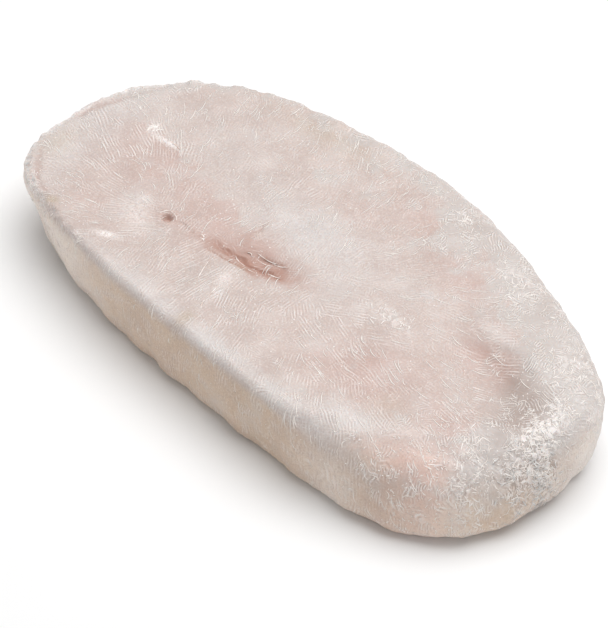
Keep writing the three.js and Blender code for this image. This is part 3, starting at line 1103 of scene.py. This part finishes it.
    def skin(self) -> tuple[Array, Array, Array]:
        """The closed skin, without its underside.

        Returns:
            The points, the four-sided faces, and how far out each point is, as top() counts it,
            and on from 1 at the wall's head to 2 on the underside.
        """
        points, out, angle = self.top()
        index = np.arange(len(points)).reshape(self.rows + 1, self.columns + 1)
        corners = (index[:-1, :-1], index[:-1, 1:], index[1:, 1:], index[1:, :-1])
        quads = [np.stack([c.ravel() for c in corners], axis=1)]
        border = np.concatenate([index[0, :-1], index[:-1, -1], index[-1, :0:-1], index[:0:-1, 0]])
        around = angle[border]
        rings = [self.form.wall(around, (i + 1) / self.wall_rings) for i in range(self.wall_rings)]
        rings += [self.form.foot(around, (i + 1) / self.foot_rings) for i in range(self.foot_rings)]
        upper, depth = border, [out]
        for number, ring in enumerate(rings):
            lower = np.arange(len(border)) + len(points)
            points = np.vstack([points, ring])
            depth.append(np.full(len(border), 1.0 + (number + 1) / len(rings)))
            quads.append(np.stack([upper, lower, np.roll(lower, -1), np.roll(upper, -1)], axis=1))
            upper = lower
        return points, np.vstack(quads), np.concatenate(depth)

    def spread(self, kind: Spots, points: Array) -> Array:
        """Adds up the spots of one kind at points of the skin, to 1 at most."""
        return np.clip(sum(spot.at(points[:, 0], points[:, 1]) for spot in kind), 0.0, 1.0)

    def ragged_ice(self, points: Array, out: Array) -> Array:
        """Where the thick glaze lies: a ragged band at the back and round the right end.

        Args:
            points: Points of the smooth skin.
            out: How far out each point is.

        Returns:
            The thickness of the glaze, from 0 to 1.
        """
        behind = smooth_step(-5.0, 8.0, points[:, 1])
        glaze = self.spread(self.icy, points) + 0.7 * behind * bell(np.minimum(out, 0.0), 3.0)
        return smooth_step(0.25, 0.85, glaze + sum(wave.at(points) for wave in self.ragged))

    def roughen(self, points: Array, quads: Array, out: Array) -> Array:
        """Gives the skin its lumps, furrows, and the crags of the rim and the frost.

        Args:
            points: Points of the smooth skin.
            quads: Its faces.
            out: How far out each point is.

        Returns:
            The moved points.
        """
        x, y = points[:, 0], points[:, 1]
        wall = smooth_step(0.5, 1.1, out)
        rim = bell(out - 0.4, 0.45) * (out > -1.5)
        left = smooth_step(-25.0, -55.0, x)
        back = smooth_step(0.0, 20.0, y)
        height = sum(wave.at(points) for wave in self.lumps)
        for wave in self.wall_lumps:
            height += wall * wave.at(points)
        height += rim * (0.2 + 0.9 * left + 0.35 * back) * sum(wave.at(points) for wave in self.crags)
        height += self.ragged_ice(points, out) * (self.ice_height + self.ice_lumps.at(points))
        height += self.spread(self.frost + self.rime_and_rim_light, points) * np.abs(self.frost_lumps.at(points))
        height *= smooth_step(0.0, 1.6, points[:, 2])
        return points + vertex_normals(points, quads) * height[:, None]

    def stain(self, points: Array) -> Array:
        """How brown the splits and the hole are.

        Args:
            points: Points of the smooth skin.

        Returns:
            The strength of the brown at each point, from 0 to 1.
        """
        x, y = points[:, 0], points[:, 1]
        stain = np.zeros_like(x)
        u, v = self.form.shaken(x, y)
        for cut in self.form.splits + self.creases:
            gap, fullness = cut.nearness(u, v)
            stain = np.maximum(stain, bell(gap, 0.55 * cut.width) * fullness * cut.stain)
        pit = self.form.pit
        reach = np.hypot(x - pit.x, y - pit.y)
        return np.maximum(stain, pit.stain * (1.0 - smooth_step(*pit.stain_radii, reach)))

    def masks(self, points: Array, out: Array) -> dict[str, Array]:
        """Where each tint and each kind of ice is.

        Args:
            points: Points of the smooth skin.
            out: How far out each point is.

        Returns:
            Name to strength at each point, from 0 to 1.
        """
        top = 1.0 - smooth_step(0.3, 0.9, out)
        wall = smooth_step(0.35, 1.0, out)
        rim = bell(out - 0.5, 0.35) * (out > 0)
        behind = smooth_step(-6.0, 10.0, points[:, 1])
        clear = smooth_step(1.0, 3.5, points[:, 2])
        left = smooth_step(-46.0, -60.0, points[:, 0])
        split = self.stain(points) * top
        icy = self.ragged_ice(points, out)
        crumbs = smooth_step(0.1, 0.9, self.crumbs.at(points)) * rim
        kinds = ("rose", "pale", "tan", "frost", "rime_and_rim_light", "seam", "gap", "painted_wall_light", "flush", "painted_shade", "chips",
                 "shards", "combed", "speckled", "bubbles")
        own = {kind: self.spread(getattr(self, kind), points) for kind in kinds}
        frost = np.clip(own["frost"] + crumbs * (0.9 * left + 0.5 * behind), 0.0, 1.0)
        painted_wall_light = own["painted_wall_light"] * wall
        changed = {
            "rose": own["rose"] * (1.0 - 0.8 * wall),
            "pale": np.minimum(own["pale"] + 0.25 * rim, 1.0) * (1.0 - wall),
            "painted_wall_light": painted_wall_light,
            # Frost patches, and painted light along the left rim where it turns away from the key light.
            "rime_and_rim_light": np.minimum(own["rime_and_rim_light"] + 0.75 * left * rim, 1.0),
            "shards": own["shards"] * clear,
            "chips": own["chips"] * clear,
            "painted_shade": own["painted_shade"] * top,
            "combed": np.minimum(0.3 + own["combed"], 1.0),
            "wall": wall * (1.0 - 0.92 * behind) * (1.0 - 0.4 * left),
            "seam": own["seam"] * top,
            "split": split,
            "gap": own["gap"] * smooth_step(-3.0, -1.0, out),
            "icy": (np.minimum(icy + 0.6 * behind * wall, 1.0) * (1.0 - 0.85 * wall * (1.0 - behind))
                    * (1.0 - 0.7 * painted_wall_light)),
            "speckled": np.minimum(icy * (1.0 - 0.7 * wall) + own["speckled"], 1.0),
            "bubbles": np.minimum(own["bubbles"] + 0.4 * icy, 1.0),
            "frost": frost * clear,
            "needles": np.clip(0.8 - 0.5 * icy - 2.0 * split, 0.0, 1.0) * (1.0 - 0.6 * wall) * clear,
            "curls": np.minimum(icy + 0.5 * frost, 1.0) * (1.0 - 0.9 * wall) * clear,
            "grains": np.clip(0.15 + 0.5 * icy + 0.5 * frost - split, 0.0, 1.0) * clear,
        }
        return own | changed

    def furrows(self) -> NodeBuilder:
        """The Geometry Nodes tree that cuts the glaze's furrows into the skin.

        Returns:
            The finished tree's builder.
        """
        nodes, given = new_tree("glaze_furrows", {"Height": "Float"})
        place = nodes.place()
        streaks = COMB_GRAIN.strokes(nodes, place)[0]
        height = nodes.times(streaks, nodes.math("ADD", nodes.field("icy"), 0.4))
        height = nodes.times(height, given["Height"])
        above = nodes.add("ShaderNodeSeparateXYZ", {0: place}).outputs[2]
        height = nodes.times(height, nodes.step(above, 0.2, 1.5))
        shift = nodes.scaled(nodes.first("GeometryNodeInputNormal"), height)
        moved = nodes.first("GeometryNodeSetPosition", {"Geometry": given["Geometry"], "Offset": shift})
        return end_tree(nodes, moved, given["Finish"])

    def build(self, offset: Array) -> Piece:
        """Builds the whole slab.

        Args:
            offset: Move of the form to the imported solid's middle.

        Returns:
            The finished slab, not yet riding on a body.
        """
        points, quads, out = self.skin()
        masks = self.masks(points, out)
        points = self.roughen(points, quads, out)
        last = np.arange(len(points) - 2 * (self.columns + self.rows), len(points))
        middle = np.array([[self.form.base_shift[0], 0.0, 0.0]])
        points = np.vstack([points, middle])
        underside = [[len(points) - 1, int(b), int(a)] for a, b in zip(last, np.roll(last, -1))]
        mesh = mesh_from("steak", points + offset, quads.tolist() + underside)
        for name, strength in masks.items():
            layer = mesh.attributes.new(name, "FLOAT", "POINT")
            layer.data.foreach_set("value", np.append(strength, 0.0).astype(np.float32))
        piece = new_object("steak", mesh)
        apply_nodes(piece, self.furrows(), {"Height": self.furrow_height * MM, "Finish": self.finish.make()})
        return piece


# ---- Ice that grows on the slab ----


class Lie(Enum):
    """How pieces of ice lie on the skin."""

    ALONG_GRAIN = "along the grain"
    ANY_WAY = "any way"


@dataclass(frozen=True)
class IceGrowth:
    """One kind of ice, scattered over the skin by Geometry Nodes."""

    name: str
    mask: str
    per_mm2: float
    length: Pair
    width: Pair
    thickness: Pair
    finish: IceFinish
    lie: Lie = Lie.ANY_WAY
    sides: int = 4
    rings: int = 4
    bend: float = 0.0
    yaw: float = 12.0
    tilt: float = 0.0
    seed: int = 1
    clumps: float = 0.3
    hugs: bool = True

    def crystal(self, nodes: NodeBuilder) -> Socket:
        """One crystal of unit size along X, slightly bent.

        Args:
            nodes: Builder of the tree.

        Returns:
            The crystal's geometry socket.
        """
        inputs = {"Segments": self.sides, "Rings": self.rings, "Radius": 0.5}
        ball = nodes.first("GeometryNodeMeshUVSphere", inputs)
        lying = nodes.first("GeometryNodeTransform", {"Geometry": ball, "Rotation": (0.0, math.pi / 2, 0.0)})
        place = nodes.add("ShaderNodeSeparateXYZ", {0: nodes.first("GeometryNodeInputPosition")}).outputs
        bow = nodes.times(nodes.times(place[0], place[0]), self.bend)
        shift = nodes.first("ShaderNodeCombineXYZ", {1: bow})
        bent = nodes.first("GeometryNodeSetPosition", {"Geometry": lying, "Offset": shift})
        inputs = {"Geometry": bent, "Name": "lift", "Value": place[2]}
        return nodes.first("GeometryNodeStoreNamedAttribute", inputs, data_type="FLOAT")

    def hugged(self, nodes: NodeBuilder, ice: Socket, slab: Socket) -> Socket:
        """The ice bent down on to the skin, so that it lies flat along its whole length.

        Args:
            nodes: Builder of the tree.
            ice: Geometry of the straight crystals.
            slab: Geometry of the skin.

        Returns:
            The bent ice's geometry socket.
        """
        values = [nodes.first("GeometryNodeInput" + kind) for kind in ("Position", "Normal")]
        foot, up = (nodes.first("GeometryNodeSampleNearestSurface", {"Mesh": slab, "Value": value},
                                data_type="FLOAT_VECTOR") for value in values)
        height = nodes.times(nodes.math("ADD", nodes.field("lift"), 0.3), self.thickness[1] * MM)
        lying = nodes.vector("ADD", foot, nodes.scaled(up, height))
        return nodes.first("GeometryNodeSetPosition", {"Geometry": ice, "Position": lying})

    def draw(self, nodes: NodeBuilder, salt: int, kind: str, limits: dict[int, object]) -> bpy.types.Node:
        """A node that draws a random value for each crystal, kept apart from other draws by its salt."""
        return nodes.add("FunctionNodeRandomValue", limits | {"Seed": self.seed * 10 + salt}, data_type=kind)

    def tree(self) -> NodeBuilder:
        """The Geometry Nodes tree of this kind of ice.

        Returns:
            The finished tree's builder.
        """
        nodes, given = new_tree(self.name, {"Density": "Float", "Seed": "Int"})
        place = nodes.place()
        clump = nodes.step(nodes.noise(place, self.clumps), 0.42, 0.58)
        share = nodes.times(nodes.field(self.mask), clump)
        seeds = nodes.add("GeometryNodeDistributePointsOnFaces", {
            "Mesh": given["Geometry"], "Density": nodes.times(share, given["Density"]),
            "Seed": given["Seed"]}).outputs
        lying = nodes.first("FunctionNodeAlignRotationToVector", {"Vector": seeds["Normal"]}, axis="Z")
        turn = math.pi
        if self.lie is Lie.ALONG_GRAIN:
            away = nodes.vector("SUBTRACT", LONG_GRAIN.direction(nodes, place)[0], UP)
            lying = nodes.first("FunctionNodeAlignRotationToVector", {"Rotation": lying, "Vector": away},
                                axis="X", pivot_axis="Z")
            turn = math.radians(self.yaw)
        tilt = math.radians(self.tilt)
        limits = {0: (-tilt, -tilt, -turn), 1: (tilt, tilt, turn)}
        jitter = self.draw(nodes, 4, "FLOAT_VECTOR", limits).outputs[0]
        jitter = nodes.first("FunctionNodeEulerToRotation", {0: jitter})
        lying = nodes.first("FunctionNodeRotateRotation", {"Rotation": lying, "Rotate By": jitter},
                            rotation_space="LOCAL")
        sizes = {i: self.draw(nodes, i, "FLOAT", {2: low * MM, 3: high * MM}).outputs[1]
                 for i, (low, high) in enumerate((self.length, self.width, self.thickness))}
        grown = nodes.first("GeometryNodeInstanceOnPoints", {
            "Points": seeds["Points"], "Instance": self.crystal(nodes), "Rotation": lying,
            "Scale": nodes.first("ShaderNodeCombineXYZ", sizes)})
        whole = nodes.first("GeometryNodeRealizeInstances", {0: grown})
        if self.hugs:
            whole = self.hugged(nodes, whole, given["Geometry"])
        return end_tree(nodes, whole, given["Finish"])

    def grow(self, slab: Piece) -> Piece:
        """Grows this ice on the slab.

        Args:
            slab: The finished slab, with its masks.

        Returns:
            The ice as one plain mesh.
        """
        piece = new_object(self.name, slab.data.copy())
        finish = self.finish.make()
        apply_nodes(piece, self.tree(), {
            "Density": self.per_mm2 / MM**2, "Seed": self.seed, "Finish": finish})
        mesh = piece.data
        for name in [a.name for a in mesh.attributes if not a.is_required and not a.is_internal]:
            mesh.attributes.remove(mesh.attributes[name])
        mesh.materials.clear()
        mesh.materials.append(finish)
        return piece


@dataclass(frozen=True)
class Sliver(Curve):
    """One listed sliver of ice along its curve, which may span the splits."""

    width: float = 0.24
    bridges: bool = False


@dataclass
class SeamIce:
    """The larger slivers of ice: some bridge the seam, others line the hole or lie as long strokes."""

    form: SteakForm = field(default_factory=SteakForm)
    name: str = "seam_ice"
    stations: int = 12
    sides: int = 6
    flatness: float = 0.3
    rise: float = 0.12
    bridge_depth: float = 0.5
    tip: float = 0.08
    slivers: tuple[Sliver, ...] = (
        Sliver((-10.1, -7.9), (-7.4, -7.5), (-5.0, -6.7), 0.34),
        Sliver((-6.6, -7.3), (-4.6, -6.9), (-2.6, -6.2), 0.28),
        Sliver((-9.2, -8.8), (-7.0, -8.5), (-5.4, -7.8), 0.22, True),
        Sliver((-5.0, -9.9), (-3.5, -9.8), (-1.7, -9.2), 0.28, True),
        Sliver((-13.0, -11.2), (-10.6, -12.1), (-8.2, -11.6), 0.24, True),
        Sliver((-8.4, -11.5), (-7.2, -11.3), (-6.3, -11.7), 0.22, True),
        Sliver((-11.6, -12.2), (-9.0, -12.5), (-6.4, -11.9), 0.18, True),
        Sliver((-11.6, -9.2), (-11.0, -8.8), (-10.4, -9.1), 0.30, True),
        Sliver((-21.9, -12.9), (-21.4, -12.5), (-20.7, -12.8), 0.44),
        Sliver((-21.2, -13.5), (-20.6, -13.2), (-20.1, -13.5), 0.30),
        Sliver((-32.0, -14.9), (-31.3, -13.2), (-29.7, -12.9), 0.24),
        Sliver((-29.7, -12.9), (-28.2, -13.5), (-26.9, -15.1), 0.26),
        Sliver((-29.6, -16.8), (-28.4, -16.3), (-26.9, -16.6), 0.24),
        Sliver((-25.2, -10.4), (-24.6, -10.3), (-24.0, -10.6), 0.30),
        Sliver((-15.1, -16.8), (-14.3, -19.2), (-13.2, -21.8), 0.32),
        Sliver((-11.3, -13.6), (-9.9, -16.0), (-8.3, -19.3), 0.22),
        Sliver((-9.1, -16.4), (-8.7, -20.5), (-8.2, -24.5), 0.26),
        Sliver((-8.2, -24.3), (-7.8, -25.6), (-6.9, -26.8), 0.34),
        Sliver((-45.2, 21.6), (-45.0, 20.0), (-44.4, 18.6), 0.24),
        Sliver((-41.3, 20.4), (-41.0, 19.0), (-40.4, 17.8), 0.22),
        Sliver((-52.0, 1.9), (-50.6, 0.7), (-50.4, -0.6), 0.40),
        Sliver((-50.6, 2.6), (-49.2, 1.9), (-48.8, 0.8), 0.26),
        Sliver((-48.4, -0.3), (-45.0, 0.9), (-42.0, 0.6), 0.36),
    )

    def mesh(self, sliver: Sliver) -> tuple[Array, Array]:
        """One sliver as a slightly flattened spindle that lies on the surface.

        Args:
            sliver: The sliver.

        Returns:
            Its points and its three-sided faces.
        """
        line, share = sliver.line(self.stations)
        run = np.gradient(line, axis=0)
        run /= np.linalg.norm(run, axis=1, keepdims=True)
        side = np.stack([-run[:, 1], run[:, 0], 0 * share], axis=1)
        height = self.form.thickness + self.form.relief(*line.T)
        height = height + self.form.carving(*line.T) * (self.bridge_depth if sliver.bridges else 1.0)
        middle = np.column_stack([line, height + self.rise * sliver.width])
        radius = 0.5 * sliver.width * (self.tip + (1.0 - self.tip) * np.sin(math.pi * share) ** 0.5)
        turn = np.linspace(0.0, 2.0 * math.pi, self.sides, endpoint=False)
        flat = side[:, None, :] * np.cos(turn)[None, :, None]
        rise = np.array([0.0, 0.0, self.flatness]) * np.sin(turn)[None, :, None]
        points = (middle[:, None, :] + radius[:, None, None] * (flat + rise)).reshape(-1, 3)
        ring = np.arange(self.sides)
        faces = []
        for station in range(self.stations - 1):
            near, far = station * self.sides + ring, (station + 1) * self.sides + ring
            faces += [np.stack([near, far, np.roll(far, -1)], axis=1),
                      np.stack([near, np.roll(far, -1), np.roll(near, -1)], axis=1)]
        last = (self.stations - 1) * self.sides
        for step in range(1, self.sides - 1):
            faces += [np.array([[0, step, step + 1]]), np.array([[last, last + step + 1, last + step]])]
        return points, np.vstack(faces)

    def build(self, offset: Array) -> Piece:
        """Builds all the slivers as one piece.

        Args:
            offset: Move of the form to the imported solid's middle.

        Returns:
            The finished piece.
        """
        made = [self.mesh(sliver) for sliver in self.slivers]
        points = np.vstack([own for own, _ in made]) + offset
        faces = np.vstack([own + number * self.stations * self.sides for number, (_, own) in enumerate(made)])
        piece = new_object(self.name, mesh_from(self.name, points, faces.tolist()))
        piece.data.materials.append(SEAM_FROST.make())
        return piece


ICE_COVER = (
    IceGrowth("glaze_needles", "needles", 0.22, (1.0, 4.5), (0.12, 0.26), (0.02, 0.03),
              NEEDLE_ICE, Lie.ALONG_GRAIN, rings=9, bend=5.0, seed=1, clumps=0.22),
    IceGrowth("glaze_curls", "curls", 0.7, (0.7, 2.4), (0.11, 0.24), (0.02, 0.035),
              CURL_ICE, rings=9, bend=11.0, seed=5, clumps=0.35),
    IceGrowth("glaze_grains", "grains", 1.4, (0.12, 0.40), (0.10, 0.26), (0.02, 0.05),
              FROST, sides=5, rings=3, seed=2),
    IceGrowth("frost_plates", "frost", 3.2, (0.6, 2.0), (0.12, 0.28), (0.03, 0.06),
              FROST, sides=5, rings=5, seed=3, clumps=0.5),
    IceGrowth("frost_chips", "chips", 1.5, (0.4, 1.3), (0.12, 0.24), (0.08, 0.18),
              FROST, seed=6, tilt=20.0, clumps=0.6, hugs=False),
    IceGrowth("frost_shards", "shards", 2.4, (1.2, 2.8), (0.18, 0.4), (0.1, 0.22),
              CLEAR_ICE, sides=5, seed=4, tilt=16.0, clumps=0.5, hugs=False),
)


# ---- Table, light and camera ----


@dataclass(frozen=True)
class Table:
    """The white table under the steak, which isn't part of it."""

    half_width_m: float = 3.0
    colour: Colour = (0.93, 0.93, 0.93)
    roughness: float = 0.9

    def build(self) -> Piece:
        """Makes the table top at height zero.

        Returns:
            The table, marked as no part of the object.
        """
        w = self.half_width_m / MM
        corners = np.array([[-w, -w, 0.0], [w, -w, 0.0], [w, w, 0.0], [-w, w, 0.0]])
        table = new_object("table", mesh_from("table", corners, [[0, 1, 2, 3]]))
        material, nodes = new_material("white_table")
        shader = nodes.first("ShaderNodeBsdfPrincipled", {
            "Base Color": (*self.colour, 1.0), "Roughness": self.roughness, "Specular IOR Level": 0.0})
        nodes.add("ShaderNodeOutputMaterial", {"Surface": shader})
        table.data.materials.append(material)
        return table


@dataclass(frozen=True)
class Studio:
    """Soft light from above and behind, and the camera."""

    key_place_m: Triple = (0.015, 0.192, 0.775)
    key_size_m: float = 0.78
    key_power_w: float = 6.05
    sky: float = 0.38
    target: Triple = (2.8, -7.1, 10.0)
    azimuth: float = 45.0
    elevation: float = 50.0
    distance: float = 550.0
    pixels_per_mm: float = 4.85
    image_height_px: int = 628
    sensor_mm: float = 36.0
    near_m: float = 0.01

    def light(self) -> None:
        """Adds the key light and the even light of the white room."""
        data = bpy.data.lights.new("key", "AREA")
        data.shape = "DISK"
        data.size = self.key_size_m
        data.energy = self.key_power_w
        lamp = new_object("key", data)
        lamp.location = self.key_place_m
        lamp.rotation_euler = (-Vector(self.key_place_m)).to_track_quat("-Z", "Y").to_euler()
        world = bpy.data.worlds.new("white_room")
        world.use_nodes = True
        world.node_tree.nodes["Background"].inputs["Strength"].default_value = self.sky
        world.node_tree.nodes["Background"].inputs["Color"].default_value = (1.0, 1.0, 1.0, 1.0)
        bpy.context.scene.world = world
        bpy.context.scene.view_settings.view_transform = "Standard"

    def camera(self, offset: Array) -> None:
        """Adds the camera at the angle from which the steak is seen.

        Args:
            offset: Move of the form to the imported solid's middle.
        """
        azimuth, elevation = math.radians(self.azimuth), math.radians(self.elevation)
        back = Vector((math.sin(azimuth) * math.cos(elevation),
                       -math.cos(azimuth) * math.cos(elevation), math.sin(elevation)))
        target = Vector(self.target) + Vector(offset)
        data = bpy.data.cameras.new("camera")
        data.sensor_width = self.sensor_mm
        data.lens = self.pixels_per_mm * self.distance * self.sensor_mm / self.image_height_px
        data.clip_start = self.near_m
        camera = new_object("camera", data)
        camera.location = (target + back * self.distance) * MM
        camera.rotation_euler = (-back).to_track_quat("-Z", "Y").to_euler()
        bpy.context.scene.camera = camera


# ---- Everything together ----


def hand_over(piece: Piece, stands_for: str | None = None) -> None:
    """Makes a finished piece ride on the steak's body and reports it.

    Args:
        piece: Finished piece.
        stands_for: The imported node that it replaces, if any.
    """
    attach(piece, BODY)
    if stands_for:
        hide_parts(stands_for)
    log.info("%s: %d triangles", piece.name, sum(len(face.vertices) - 2 for face in piece.data.polygons))


def main() -> None:
    """Builds the steak, its ice, the table, the light and the camera."""
    logging.basicConfig(level=logging.INFO, format="%(name)s: %(message)s")
    skin = SteakSkin()
    offset = skin.form.offset(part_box(NODE))
    studio = Studio()
    studio.camera(offset)
    studio.light()
    slab = skin.build(offset)
    cover = [kind.grow(slab) for kind in ICE_COVER] + [SeamIce().build(offset)]
    hand_over(slab, NODE)
    for ice in cover:
        hand_over(ice)
    Table().build()


if __name__ == "__main__":
    main()
